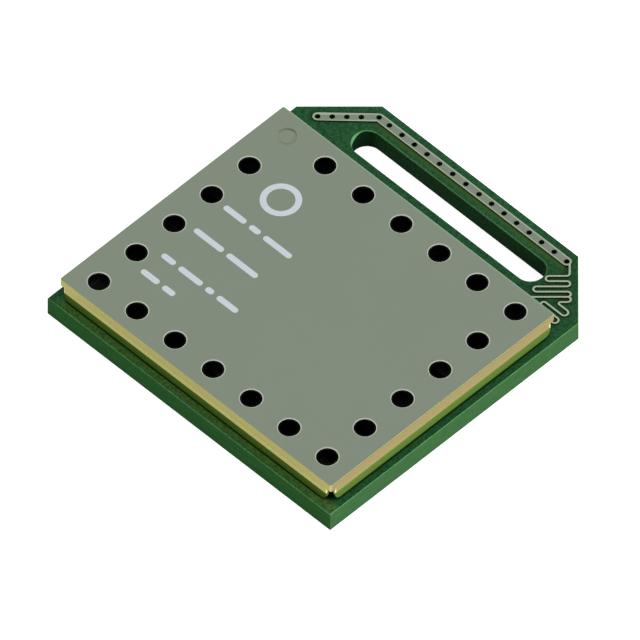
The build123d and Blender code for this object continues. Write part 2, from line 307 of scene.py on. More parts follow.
def make_edge_wear():
    """Where a piece has an edge within Reach metres, from 0 on flats to 1 on the edge itself."""
    group, start, end = new_group("Edge wear", {"Reach": ("Float", 0.00003)}, {"Edge": "Float"})
    rounded = add_node(group, "ShaderNodeBevel", {"Radius": start.outputs["Reach"]}, samples=4)
    normal = add_node(group, "ShaderNodeNewGeometry").outputs["Normal"]
    inputs = {0: rounded.outputs[0], 1: normal}
    match = add_node(group, "ShaderNodeVectorMath", inputs, operation="DOT_PRODUCT").outputs["Value"]
    group.links.new(soft_step(group, match, 0.995, 0.85), end.inputs["Edge"])
    return group


def make_inset():
    """How far in a place lies from the nearest upright side of a box, in millimetres."""
    inputs = {"Place": ("Vector", None), "Middle": ("Vector", None), "Half": ("Vector", None)}
    group, start, end = new_group("Inset", inputs, {"Inset": "Float"})
    pair = {0: start.outputs["Place"], 1: start.outputs["Middle"]}
    offset = add_node(group, "ShaderNodeVectorMath", pair, operation="SUBTRACT").outputs[0]
    reach = add_node(group, "ShaderNodeVectorMath", {0: offset}, operation="ABSOLUTE").outputs[0]
    pair = {0: start.outputs["Half"], 1: reach}
    left = add_node(group, "ShaderNodeVectorMath", pair, operation="SUBTRACT").outputs[0]
    parts = add_node(group, "ShaderNodeSeparateXYZ", {0: left}).outputs
    group.links.new(calculate(group, "MINIMUM", parts["X"], parts["Y"]), end.inputs["Inset"])
    return group


def box_inset(tree, place, low, high):
    """How far in from the upright sides of a box a place lies, in millimetres."""
    middle = (low + high) / 2 / mm
    half = (high - low) / 2 / mm
    return use_group(tree, inset_group, place=place, middle=middle, half=half)["Inset"]


grain_group = make_grain()
facing_group = make_facing()
edge_group = make_edge_wear()
inset_group = make_inset()


# Finishes, with their distances in millimetres

def strip_sides(tree, x, y):
    """How far a place lies beyond the two runs of the antenna strip on the can's side, in millimetres."""
    below = calculate(tree, "SUBTRACT", (board_high.y - strip_inset - strip_width / 2) / mm, y)
    cut_line = board_left_cut - board_high.x - board_high.y
    cut_line = (cut_line + math.sqrt(2) * (strip_cut_inset + strip_width / 2)) / mm
    across = calculate(tree, "SUBTRACT", calculate(tree, "SUBTRACT", x, y), cut_line)
    beside = calculate(tree, "MULTIPLY", across, 1 / math.sqrt(2))
    return below, beside


def slot_reach(tree, x, y):
    """How far a place lies outside the slot's round-ended outline, in millimetres."""
    straight = (slot_length - slot_width) / 2 / mm
    beyond = calculate(tree, "SUBTRACT", calculate(tree, "ABSOLUTE", x), straight)
    beyond = calculate(tree, "MAXIMUM", beyond, 0.0)
    across = calculate(tree, "SUBTRACT", y, (board_high.y - slot_inset) / mm)
    squares = calculate(tree, "MULTIPLY", beyond, beyond)
    squares = calculate(tree, "MULTIPLY_ADD", across, across, squares)
    return calculate(tree, "SUBTRACT", calculate(tree, "SQRT", squares), slot_width / 2 / mm)


def blend_sides_by_light(tree, facing, grain, near, right):
    """Grained colour of the near sides and of the right ones, each given as a dark and a pale tone; each
    side's tones are set for how the light falls on it, so they carry painted light and shade.
    """
    near = mix_colours(tree, grain, colour(*near[0]), colour(*near[1]))
    right = mix_colours(tree, grain, colour(*right[0]), colour(*right[1]))
    return mix_colours(tree, facing["Right"], near, right)


def corner_reach(tree, x, y):
    """How far in from the can's nearest corner a place lies, in millimetres along both sides."""
    half = (can_high - can_low) / 2 / mm
    middle = can_middle / mm
    off_x = calculate(tree, "ABSOLUTE", calculate(tree, "SUBTRACT", x, middle.x))
    off_y = calculate(tree, "ABSOLUTE", calculate(tree, "SUBTRACT", y, middle.y))
    return calculate(tree, "SUBTRACT", half.x + half.y, calculate(tree, "ADD", off_x, off_y))


def tint_right_side(tree, mask, mottle, x, y):
    """The mask is a little darker right of the can, painted shade beside its wall, and also darker past the
    slot's right end.
    """
    can_right = can_high.x / mm
    can_far = can_high.y / mm
    slot_right = slot_length / 2 / mm
    right = soft_step(tree, x, can_right - 0.05, can_right)
    right = calculate(tree, "MULTIPLY", right, soft_step(tree, y, can_far + 0.6, can_far - 1.5))
    past_slot = soft_step(tree, x, slot_right - 0.95, slot_right - 0.5)
    past_slot = calculate(tree, "MULTIPLY", past_slot, soft_step(tree, y, can_far, can_far + 1.0))
    darker = mix_colours(tree, mottle, colour(22, 58, 32), colour(40, 84, 50))
    return mix_colours(tree, calculate(tree, "MAXIMUM", right, past_slot), mask, darker)


def tint_near_side(tree, mask, mottle, x, y):
    """Painted light: warm light from the near wall's metal is painted onto the mask before it, less so
    towards the board's edge.
    """
    near_wall = can_low.y / mm
    left_wall = can_low.x / mm
    warm = mix_colours(tree, mottle, colour(44, 72, 29), colour(72, 106, 50))
    cooler = mix_colours(tree, mottle, colour(34, 72, 32), colour(60, 100, 52))
    warm = mix_colours(tree, soft_step(tree, y, near_wall - 0.1, near_wall - 0.5), warm, cooler)
    tinted = soft_step(tree, y, near_wall + 0.3, near_wall)
    tinted = calculate(tree, "MULTIPLY", tinted, soft_step(tree, x, left_wall - 0.2, left_wall + 0.5))
    return mix_colours(tree, tinted, mask, warm)


def shade_under_can(tree, mask, place, x, y):
    """Dark mask under the can and at the foot of its walls, but not in its open corners."""
    beside_can = box_inset(tree, place, can_low, can_high)
    deep = soft_step(tree, beside_can, 0.05, 0.3)
    contact = mix_colours(tree, deep, colour(16, 41, 7), colour(6, 18, 6))
    around = soft_step(tree, corner_reach(tree, x, y), 0.15, 0.75)
    around = calculate(tree, "MULTIPLY", around, soft_step(tree, beside_can, -0.085, -0.045))
    return mix_colours(tree, around, mask, contact)


def tint_along_strip(tree, mask, x, y):
    """A warm band of painted light lies on the board along the antenna strip, from its bend to its right
    end.
    """
    strip_left = via_places()[0][0] / mm
    strip_right = (board_high.x - strip_end_inset) / mm
    reach = calculate(tree, "MINIMUM", *strip_sides(tree, x, y))
    band = calculate(tree, "MULTIPLY", soft_step(tree, reach, -0.02, 0.0), soft_step(tree, reach, 0.3, 0.06))
    band = calculate(tree, "MULTIPLY", band, soft_step(tree, x, strip_left - 0.2, strip_left + 0.4))
    band = calculate(tree, "MULTIPLY", band, soft_step(tree, x, strip_right + 0.3, strip_right))
    return mix_colours(tree, band, mask, colour(58, 86, 38))


def line_slot_edge(tree, mask, x, y):
    """A pale line of painted highlight runs along the slot's far edge."""
    middle = (board_high.y - slot_inset) / mm
    line = soft_step(tree, slot_reach(tree, x, y), 0.075, 0.035)
    line = calculate(tree, "MULTIPLY", line, soft_step(tree, y, middle, middle + 0.3))
    return mix_colours(tree, line, mask, colour(64, 104, 68))


def make_mask_colour(tree, place, x, y, z):
    """Mottled green solder mask, plain below, and on top with painted light and shade round the other
    pieces.
    """
    fine = use_group(tree, grain_group, place=place, size=0.13, spread=2.2)["Grain"]
    broad = use_group(tree, grain_group, place=place, size=1.6, spread=0.9)["Grain"]
    mottle = mix_values(tree, 0.25, fine, broad)
    plain = mix_colours(tree, mottle, colour(22, 62, 34), colour(44, 92, 57))
    mask = tint_right_side(tree, plain, mottle, x, y)
    mask = tint_near_side(tree, mask, mottle, x, y)
    mask = shade_under_can(tree, mask, place, x, y)
    mask = tint_along_strip(tree, mask, x, y)
    mask = line_slot_edge(tree, mask, x, y)
    on_top = calculate(tree, "GREATER_THAN", z, (board_low.z + board_high.z) / 2 / mm)
    return mix_colours(tree, on_top, plain, mask), fine


def make_slot_colour(tree, weave, z):
    """The slot's walls, painted dark as shade and deepest where the wall turns away, with a crescent of
    painted light at the left end.
    """
    slot = mix_colours(tree, weave, colour(7, 48, 18), colour(15, 60, 27))
    normal = add_node(tree, "ShaderNodeNewGeometry").outputs["Normal"]
    far_right = (0.707, 0.707, 0)
    turn = add_node(tree, "ShaderNodeVectorMath", {0: normal, 1: far_right}, operation="DOT_PRODUCT")
    turn = turn.outputs["Value"]
    slot = mix_colours(tree, soft_step(tree, turn, -0.68, -0.3), slot, colour(5, 32, 12))
    crescent = calculate(tree, "POWER", calculate(tree, "MAXIMUM", turn, 0.0), 2.4)
    crescent = calculate(tree, "MULTIPLY", crescent, lit_depth / mm)
    depth = calculate(tree, "SUBTRACT", board_high.z / mm, z)
    lit = soft_step(tree, calculate(tree, "SUBTRACT", crescent, depth), -0.05, 0.05)
    return mix_colours(tree, lit, slot, colour(98, 148, 100))


def make_laminate_colour(tree, place, facing, x, y, z):
    """The layers of the cut laminate round the board, and the slot's own walls."""
    layers = add_node(tree, "ShaderNodeMapping", {"Vector": place, "Scale": (0.6, 0.6, 9.0)}).outputs[0]
    weave = use_group(tree, grain_group, place=layers, size=0.5, spread=1.2)["Grain"]
    near = ((22, 70, 24), (34, 86, 36))
    right = ((38, 74, 37), (50, 88, 50))
    side = blend_sides_by_light(tree, facing, weave, near, right)
    in_slot = soft_step(tree, slot_reach(tree, x, y), 0.08, 0.02)
    return mix_colours(tree, in_slot, side, make_slot_colour(tree, weave, z))


def make_board_finish():
    """Green solder mask on the faces, cut laminate on the sides, and a pale line of painted highlight on
    broken edges.
    """
    material, tree, shader, place = new_material("board_green", roughness=0.5, specular=0.03)
    facing = use_group(tree, facing_group)
    parts = add_node(tree, "ShaderNodeSeparateXYZ", {0: place}).outputs
    mask, fine = make_mask_colour(tree, place, parts["X"], parts["Y"], parts["Z"])
    laminate = make_laminate_colour(tree, place, facing, parts["X"], parts["Y"], parts["Z"])
    faces = mix_colours(tree, facing["Side"], mask, laminate)
    # Broken edges are painted paler, a painted highlight
    edge = mix_colours(tree, fine, colour(62, 108, 60), colour(78, 128, 76))
    tree.links.new(mix_colours(tree, facing["Slope"], faces, edge), shader.inputs["Base Color"])
    tree.links.new(mix_values(tree, fine, 0.42, 0.58), shader.inputs["Roughness"])
    raise_surface(tree, shader, fine, 0.006 * mm)
    return material


def make_foot_reflection_colour(tree, facing, height, fine):
    """The green foot of the can's walls, a painted reflection of the board, lighter on the right wall, and
    dark with painted contact shade where the right wall meets the board.
    """
    near = mix_colours(tree, fine, colour(58, 84, 20), colour(70, 98, 30))
    right = mix_colours(tree, fine, colour(70, 96, 34), colour(84, 112, 46))
    foot_low = board_high.z / mm
    # Painted contact shade at the bottom of the right wall
    low = soft_step(tree, height, foot_low + 0.14, foot_low + 0.04)
    return mix_colours(tree, facing["Right"], near, mix_colours(tree, low, right, colour(20, 48, 8)))


def find_wall_end_highlights(tree, inward, height):
    """Where the walls get painted highlights: beside the reliefs, and on the can's corner itself."""
    ends = soft_step(tree, inward, 0.4, 0.35)
    ends = calculate(tree, "MULTIPLY", ends, soft_step(tree, inward, 0.27, 0.32))
    relief_top = (can_high.z - relief_drop) / mm
    ends = calculate(tree, "MULTIPLY", ends, soft_step(tree, height, relief_top + 0.03, relief_top - 0.03))
    return calculate(tree, "ADD", ends, soft_step(tree, inward, 0.12, 0.02))


def make_wall_colour(tree, facing, inward, height, fine, broad):
    """Warm bright metal on the can's walls, with painted highlights at their ends and on the far bend and
    painted shade on the right bend, above a green foot that is a painted reflection of the board.
    """
    near = ((190, 182, 104), (198, 189, 111))
    right = ((182, 164, 102), (190, 171, 109))
    bright = blend_sides_by_light(tree, facing, broad, near, right)
    near = ((192, 184, 110), (199, 190, 116))
    right = ((135, 123, 79), (141, 129, 85))
    band = blend_sides_by_light(tree, facing, broad, near, right)
    mirror = soft_step(tree, height, mirror_line / mm - 0.03, mirror_line / mm + 0.03)
    lowered = calculate(tree, "MULTIPLY_ADD", facing["Right"], -0.045, height)
    above = soft_step(tree, lowered, wall_line / mm - 0.03, wall_line / mm + 0.03)
    # The bends into the lid: painted shade on the right one, and a painted highlight on the far one
    bend = soft_step(tree, height, can_high.z / mm - 0.09, can_high.z / mm - 0.05)
    top = calculate(tree, "MULTIPLY", bend, facing["Right"])
    bright = mix_colours(tree, top, bright, colour(120, 114, 86))
    top = calculate(tree, "MULTIPLY", bend, facing["Far"])
    bright = mix_colours(tree, top, bright, colour(186, 200, 180))
    gold = mix_colours(tree, mirror, band, bright)
    # Painted highlights at the wall ends and on the corner
    gold = mix_colours(tree, find_wall_end_highlights(tree, inward, height), gold, colour(228, 218, 164))
    wall = mix_colours(tree, above, make_foot_reflection_colour(tree, facing, height, fine), gold)
    return wall, mirror, bend


def make_lid_colour(tree, tone, x, y):
    """Grey-green plating on the lid, with a pale green painted highlight at its far edge and a brown line at
    its right.
    """
    lid = mix_colours(tree, tone, colour(141, 152, 136), colour(153, 164, 148))
    far = can_high.y / mm
    lid = mix_colours(tree, soft_step(tree, y, far - 0.12, far - 0.06), lid, colour(151, 178, 151))
    right = can_high.x / mm
    return mix_colours(tree, soft_step(tree, x, right - 0.05, right - 0.02), lid, colour(128, 126, 98))


def key_mark(tree, place):
    """The round key mark in the lid: where it lies, and arcs of painted shade on the dimple's edge at its
    far and near side.
    """
    span_x = (can_high.x - can_low.x) / 2 - hole_side_margin
    span_y = (can_high.y - can_low.y) / 2 - hole_end_margin
    middle = (can_middle + Vector((-span_x, span_y, 0))) / mm
    inputs = {0: place, 1: (middle.x, middle.y, can_high.z / mm)}
    offset = add_node(tree, "ShaderNodeVectorMath", inputs, operation="SUBTRACT").outputs[0]
    reach = add_node(tree, "ShaderNodeVectorMath", {0: offset}, operation="LENGTH").outputs["Value"]
    away = calculate(tree, "ABSOLUTE", calculate(tree, "SUBTRACT", reach, key_mark_radius / mm))
    parts = add_node(tree, "ShaderNodeSeparateXYZ", {0: offset}).outputs
    along = calculate(tree, "ABSOLUTE", calculate(tree, "SUBTRACT", parts["Y"], parts["X"]))
    arc = calculate(tree, "MULTIPLY", soft_step(tree, away, 0.075, 0.035), soft_step(tree, along, 0.32, 0.5))
    return soft_step(tree, reach, 0.62, 0.58), arc


def make_can_finish():
    """Matt grey-green plating on the lid, bright warm metal on the walls, and an inside painted dark as
    shade.
    """
    material, tree, shader, place = new_material("can_plating", specular=0.1)
    facing = use_group(tree, facing_group)
    fine = use_group(tree, grain_group, place=place, size=0.05, spread=1.0)["Grain"]
    broad = use_group(tree, grain_group, place=place, size=4.0, spread=0.4)["Grain"]
    parts = add_node(tree, "ShaderNodeSeparateXYZ", {0: place}).outputs
    height = parts["Z"]
    lid = make_lid_colour(tree, mix_values(tree, 0.35, fine, broad), parts["X"], parts["Y"])
    inward = corner_reach(tree, parts["X"], parts["Y"])
    wall, mirror, bend = make_wall_colour(tree, facing, inward, height, fine, broad)
    key, arc = key_mark(tree, place)
    flat = calculate(tree, "MAXIMUM", facing["Up"], key)
    outside = mix_colours(tree, flat, wall, lid)
    # The holes' cut edges get a pale painted highlight, the key mark's arcs are painted shade, and all below
    # the lid's sheet is painted dark as shade
    within = calculate(tree, "GREATER_THAN", box_inset(tree, place, can_low, can_high), 0.75 * sheet / mm)
    cut_edge = calculate(tree, "MULTIPLY", within, calculate(tree, "SUBTRACT", 1.0, flat))
    outside = mix_colours(tree, cut_edge, outside, colour(226, 231, 218))
    outside = mix_colours(tree, arc, outside, colour(140, 144, 118))
    beneath = calculate(tree, "LESS_THAN", height, (can_high.z - 0.36 * sheet) / mm)
    inside = calculate(tree, "MULTIPLY", within, beneath)
    tree.links.new(mix_colours(tree, inside, outside, colour(10, 14, 8)), shader.inputs["Base Color"])
    # The walls are polished up to the bend into the lid, but the far one is dull
    mirror = calculate(tree, "MULTIPLY", mirror, calculate(tree, "SUBTRACT", 1.0, facing["Far"]))
    tree.links.new(mix_values(tree, mirror, 0.15, 1.0), shader.inputs["Metallic"])
    polish = mix_values(tree, mirror, 0.5, mix_values(tree, bend, 0.08, 0.6))
    matt = mix_values(tree, fine, 0.5, 0.62)
    tree.links.new(mix_values(tree, flat, polish, matt), shader.inputs["Roughness"])
    raise_surface(tree, shader, calculate(tree, "MULTIPLY", fine, facing["Up"]), 0.002 * mm)
    return material


def make_tin_finish(name, dark, pale, roughness):
    """Matt tinned metal, a little paler along its edges."""
    material, tree, shader, place = new_material(name, metallic=0.85)
    fine = use_group(tree, grain_group, place=place, size=0.06, spread=1.1)["Grain"]
    edge = use_group(tree, edge_group, reach=0.025 * mm)["Edge"]
    face = mix_colours(tree, fine, colour(*dark), colour(*pale))
    rim = colour(*[min(255, level + 30) for level in pale])
    tree.links.new(mix_colours(tree, edge, face, rim), shader.inputs["Base Color"])
    tree.links.new(mix_values(tree, fine, roughness, roughness + 0.14), shader.inputs["Roughness"])
    raise_surface(tree, shader, fine, 0.003 * mm)
    return material


def end_rim(tree, x, y, number, inward_x, inward_y):
    """The outer rim of one of the strip's round ends, beyond the via hole of that number, where its painted
    highlight goes.
    """
    end_x, end_y = via_places()[number]
    across = calculate(tree, "SUBTRACT", x, end_x / mm)
    along = calculate(tree, "SUBTRACT", y, end_y / mm)
    inward = calculate(tree, "MULTIPLY_ADD", across, inward_x, calculate(tree, "MULTIPLY", along, inward_y))
    squares = calculate(tree, "MULTIPLY_ADD", across, across, calculate(tree, "MULTIPLY", along, along))
    reach = calculate(tree, "SUBTRACT", calculate(tree, "SQRT", squares), strip_width / 2 / mm)
    rim = soft_step(tree, reach, -0.09, -0.06)
    return calculate(tree, "MULTIPLY", rim, calculate(tree, "LESS_THAN", inward, 0.0))


def make_antenna_finish():
    """Dull tin: the strip's edges have a painted highlight, the tracks are pale, and the thin sides are
    painted dark as shade.
    """
    material, tree, shader, place = new_material("antenna_tin", metallic=0.85)
    facing = use_group(tree, facing_group)
    fine = use_group(tree, grain_group, place=place, size=0.07, spread=1.3)["Grain"]
    parts = add_node(tree, "ShaderNodeSeparateXYZ", {0: place}).outputs
    below, beside = strip_sides(tree, parts["X"], parts["Y"])
    reach = calculate(tree, "MINIMUM", below, beside)
    width = strip_width / mm
    near_edge = soft_step(tree, reach, -0.08, -0.05)
    cut_edge = soft_step(tree, beside, -0.13, -0.09)
    cut_edge = calculate(tree, "MULTIPLY", cut_edge, calculate(tree, "LESS_THAN", beside, below))
    near_edge = calculate(tree, "MAXIMUM", near_edge, cut_edge)
    far_edge = soft_step(tree, reach, 0.09 - width, 0.06 - width)
    edge = calculate(tree, "MAXIMUM", near_edge, far_edge)
    ends = ((1, math.cos(strip_cut_turn), math.sin(strip_cut_turn)), (-1, -1.0, 0.0))
    for number, inward_x, inward_y in ends:
        rim = end_rim(tree, parts["X"], parts["Y"], number, inward_x, inward_y)
        edge = calculate(tree, "MAXIMUM", edge, rim)
    face = mix_colours(tree, fine, colour(126, 137, 121), colour(150, 159, 142))
    rim = mix_colours(tree, fine, colour(166, 178, 154), colour(184, 196, 172))
    track = mix_colours(tree, fine, colour(168, 180, 157), colour(190, 201, 177))
    # Painted highlight along the strip's edges and round ends
    top = mix_colours(tree, edge, face, rim)
    top = mix_colours(tree, soft_step(tree, reach, 0.02, 0.05), top, track)
    # The thin sides are painted dark as shade
    tree.links.new(mix_colours(tree, facing["Side"], top, colour(34, 38, 10)), shader.inputs["Base Color"])
    tree.links.new(mix_values(tree, fine, 0.4, 0.54), shader.inputs["Roughness"])
    raise_surface(tree, shader, fine, 0.003 * mm)
    return material


def make_moulded_finish(name, dark, pale, grain_size, roughness):
    """A moulded or fired block: speckled colour, worn lighter edges and a fine surface."""
    material, tree, shader, place = new_material(name, specular=0.1)
    speckle = use_group(tree, grain_group, place=place, size=grain_size, spread=1.4)["Grain"]
    edge = use_group(tree, edge_group, reach=0.03 * mm)["Edge"]
    face = mix_colours(tree, speckle, colour(*dark), colour(*pale))
    rim = colour(*[min(255, level + 22) for level in pale])
    worn = calculate(tree, "MULTIPLY", edge, speckle)
    tree.links.new(mix_colours(tree, worn, face, rim), shader.inputs["Base Color"])
    tree.links.new(mix_values(tree, speckle, roughness, roughness + 0.15), shader.inputs["Roughness"])
    raise_surface(tree, shader, speckle, 0.006 * mm)
    return material


def make_gold_finish():
    """Thin gold plating, with the soft unevenness of the copper under it."""
    material, tree, shader, place = new_material("pad_gold", metallic=1.0)
    fine = use_group(tree, grain_group, place=place, size=0.08, spread=1.0)["Grain"]
    broad = use_group(tree, grain_group, place=place, size=0.9, spread=0.9)["Grain"]
    tone = mix_values(tree, 0.5, fine, broad)
    gold = mix_colours(tree, tone, colour(206, 164, 84), colour(236, 200, 122))
    tree.links.new(gold, shader.inputs["Base Color"])
    tree.links.new(mix_values(tree, fine, 0.22, 0.4), shader.inputs["Roughness"])
    raise_surface(tree, shader, fine, 0.003 * mm)
    return material


def make_ink_finish():
    """Pale printed ink, slightly uneven where the plating shows through."""
    material, tree, shader, place = new_material("pale_ink", specular=0.3)
    fine = use_group(tree, grain_group, place=place, size=0.07, spread=1.2)["Grain"]
    ink = mix_colours(tree, fine, colour(182, 191, 197), colour(200, 208, 214))
    tree.links.new(ink, shader.inputs["Base Color"])
    tree.links.new(mix_values(tree, fine, 0.5, 0.7), shader.inputs["Roughness"])
    return material


def make_barrel_finish(name, dark, pale):
    """Metal in the mouth of a hole or deep in it, dulled, and painted dark as the shade in the hole."""
    material, tree, shader, place = new_material(name, metallic=0.6, specular=0.1)
    fine = use_group(tree, grain_group, place=place, size=0.05, spread=1.2)["Grain"]
    tree.links.new(mix_colours(tree, fine, colour(*dark), colour(*pale)), shader.inputs["Base Color"])
    tree.links.new(mix_values(tree, fine, 0.5, 0.7), shader.inputs["Roughness"])
    return material


def make_floor_finish():
    """Plain white studio floor: white to the camera where the part shades it, and clear from below."""
    material, tree, shader, place = new_material("studio_floor", roughness=0.9, specular=0.1)
    cloud = use_group(tree, grain_group, place=place, size=60.0, spread=0.6)["Grain"]
    pale = mix_colours(tree, cloud, colour(240, 241, 242), colour(246, 246, 246))
    tree.links.new(pale, shader.inputs["Base Color"])
    tree.links.new(pale, shader.inputs["Emission Color"])
    path = add_node(tree, "ShaderNodeLightPath").outputs
    close = calculate(tree, "LESS_THAN", path["Ray Length"], glow_reach)
    glow = calculate(tree, "MAXIMUM", path["Is Camera Ray"], close)
    tree.links.new(calculate(tree, "MULTIPLY", glow, floor_glow), shader.inputs["Emission Strength"])
    beneath = add_node(tree, "ShaderNodeNewGeometry").outputs["Backfacing"]
    tree.links.new(calculate(tree, "SUBTRACT", 1.0, beneath), shader.inputs["Alpha"])
    return material


def dress(material, *names):
    """Give CAD nodes a finish in their own material slots."""
    for name in names:
        piece = frame["nodes"][name]
        if not piece.material_slots:
            piece.data.materials.append(material)
        for material_slot in piece.material_slots:
            material_slot.material = material


board_finish = make_board_finish()
can_finish = make_can_finish()
antenna_finish = make_antenna_finish()
# The contacts and the parts under the can get colours much darker than their own: painted shade for the dark
# inside of the can.
contact_finish = make_tin_finish("contact_tin", (34, 34, 33), (48, 48, 46), 0.45)
gold_finish = make_gold_finish()
package_finish = make_moulded_finish("package_black", (7, 7, 8), (14, 14, 15), 0.05, 0.6)
grey_finish = make_moulded_finish("ceramic_grey", (10, 11, 11), (17, 18, 18), 0.06, 0.55)
tan_finish = make_moulded_finish("ceramic_tan", (14, 11, 8), (22, 17, 13), 0.05, 0.5)
ferrite_finish = make_moulded_finish("ferrite_dark", (8, 8, 9), (15, 15, 17), 0.08, 0.65)
ink_finish = make_ink_finish()
# Painted highlight on the holes' pale rims, and painted shade in the via barrels and in the dark rings at
# the holes' edges
rim_highlight_finish = make_tin_finish("rolled_rim_highlight", (186, 192, 178), (198, 204, 190), 0.55)
barrel_finish = make_barrel_finish("barrel_copper", (10, 14, 8), (24, 28, 18))
hole_shade_finish = make_barrel_finish("hole_shade_dark", (2, 3, 2), (5, 7, 4))

dress(board_finish, "circuit_board")
dress(can_finish, "shield_can")
dress(antenna_finish, "printed_antenna", "antenna_back_strip")
dress(gold_finish, "edge_pads", "ground_pads")
for subpart in frame["record"]["subparts"]:
    finish = {
        "contact_metal": contact_finish,
        "package": package_finish,
        "grey_ceramic": grey_finish,
        "tan_ceramic": tan_finish,
        "ferrite": ferrite_finish,
    }.get(subpart["material_slot"])
    if finish:
        dress(finish, subpart["node"])


# Geometry Nodes helpers

def new_tree(name, inputs):
    """An empty Geometry Nodes tree with named inputs, and its two end nodes."""
    tree = bpy.data.node_groups.new(name, "GeometryNodeTree")
    tree.interface.new_socket("Geometry", in_out="OUTPUT", socket_type="NodeSocketGeometry")
    for socket_name, kind in inputs.items():
        tree.interface.new_socket(socket_name, in_out="INPUT", socket_type="NodeSocket" + kind)
    return tree, tree.nodes.new("NodeGroupInput").outputs, tree.nodes.new("NodeGroupOutput")


def close_tree(tree, end, shape, material):
    """Finish a tree: real meshes with their material."""
    real = add_node(tree, "GeometryNodeRealizeInstances", {0: shape}).outputs[0]
    painted = add_node(tree, "GeometryNodeSetMaterial", {"Geometry": real, "Material": material})
    tree.links.new(painted.outputs[0], end.inputs[0])


def grow(name, tree, values):
    """Run a tree with its values and keep the result as a plain mesh that rides on the part."""
    seed = bpy.data.objects.new(name + "_seed", bpy.data.meshes.new(name + "_seed"))
    bpy.context.scene.collection.objects.link(seed)
    modifier = seed.modifiers.new("tree", "NODES")
    modifier.node_group = tree
    for item in tree.interface.items_tree:
        if item.in_out == "INPUT":
            modifier[item.identifier] = values[item.name]
    evaluated = seed.evaluated_get(bpy.context.evaluated_depsgraph_get())
    mesh = bpy.data.meshes.new_from_object(evaluated)
    mesh.name = name
    bpy.data.objects.remove(seed)
    piece = bpy.data.objects.new(name, mesh)
    bpy.context.scene.collection.objects.link(piece)
    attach(piece, "root")


def join(tree, shapes):
    """Join several shapes into one."""
    node = tree.nodes.new("GeometryNodeJoinGeometry")
    for shape in reversed(shapes):
        tree.links.new(shape, node.inputs[0])
    return node.outputs[0]


def make_washer(tree, radius, width, height):
    """A flat round ring outside a radius, with a softly sloped outer edge."""
    path = add_node(tree, "GeometryNodeCurvePrimitiveCircle", {"Radius": radius}, mode="RADIUS")
    path.inputs["Resolution"].default_value = 40
    profile = add_node(tree, "GeometryNodeCurvePrimitiveQuadrilateral", mode="TRAPEZOID")
    sizes = {
        "Bottom Width": width, "Top Width": calculate(tree, "MULTIPLY", width, 0.6),
        "Height": height, "Offset": calculate(tree, "MULTIPLY", width, -0.2),
    }
    for name, value in sizes.items():
        tree.links.new(value, profile.inputs[name])
    inputs = {"Curve": path.outputs[0], "Profile Curve": profile.outputs[0]}
    ring = add_node(tree, "GeometryNodeCurveToMesh", inputs).outputs[0]
    flat = {"Geometry": ring, "Shade Smooth": False}
    return add_node(tree, "GeometryNodeSetShadeSmooth", flat).outputs[0]


def raise_plate(tree, outline, height):
    """Fill a flat outline and raise it to a thin closed plate."""
    filled = add_node(tree, "GeometryNodeFillCurve", {"Curve": outline}, mode="TRIANGLES").outputs[0]
    inputs = {"Mesh": filled, "Offset Scale": height, "Individual": False}
    risen = add_node(tree, "GeometryNodeExtrudeMesh", inputs).outputs[0]
    beneath = add_node(tree, "GeometryNodeFlipFaces", {"Mesh": filled}).outputs[0]
    shell = {"Geometry": join(tree, [risen, beneath]), "Distance": weld_distance}
    return add_node(tree, "GeometryNodeMergeByDistance", shell).outputs[0]


def make_plate_between(tree, circles, height):
    """A thin flat plate between two circles, each given by its radius and its middle."""
    edges = []
    for radius, middle in circles:
        circle = add_node(tree, "GeometryNodeCurvePrimitiveCircle", {"Radius": radius}, mode="RADIUS")
        circle.inputs["Resolution"].default_value = 48
        move = {"Geometry": circle.outputs[0], "Translation": middle}
        edges.append(add_node(tree, "GeometryNodeTransform", move).outputs[0])
    return raise_plate(tree, join(tree, edges), height)


def rim_points(tree, start):
    """The lid's hole places: the rim of a grid, without the key mark's corner."""
    grid_inputs = {
        "Size X": start["Span X"], "Size Y": start["Span Y"],
        "Vertices X": start["Along"], "Vertices Y": start["Across"],
    }
    grid = add_node(tree, "GeometryNodeMeshGrid", grid_inputs).outputs["Mesh"]
    # A place on the grid's rim is half a span out in X or in Y, and the key corner in both
    position = tree.nodes.new("GeometryNodeInputPosition").outputs[0]
    spot = add_node(tree, "ShaderNodeSeparateXYZ", {0: position}).outputs
    share_x = calculate(tree, "DIVIDE", spot["X"], start["Span X"])
    share_y = calculate(tree, "DIVIDE", spot["Y"], start["Span Y"])
    size_x = calculate(tree, "ABSOLUTE", share_x)
    size_y = calculate(tree, "ABSOLUTE", share_y)
    inner = calculate(tree, "LESS_THAN", calculate(tree, "MAXIMUM", size_x, size_y), 0.49)
    key = calculate(tree, "GREATER_THAN", calculate(tree, "SUBTRACT", share_y, share_x), 0.98)
    drop = {"Geometry": grid, "Selection": calculate(tree, "MAXIMUM", inner, key)}
    chosen = add_node(tree, "GeometryNodeDeleteGeometry", drop, domain="POINT").outputs[0]
    move = {"Geometry": chosen, "Translation": start["Middle"]}
    return add_node(tree, "GeometryNodeTransform", move).outputs[0]


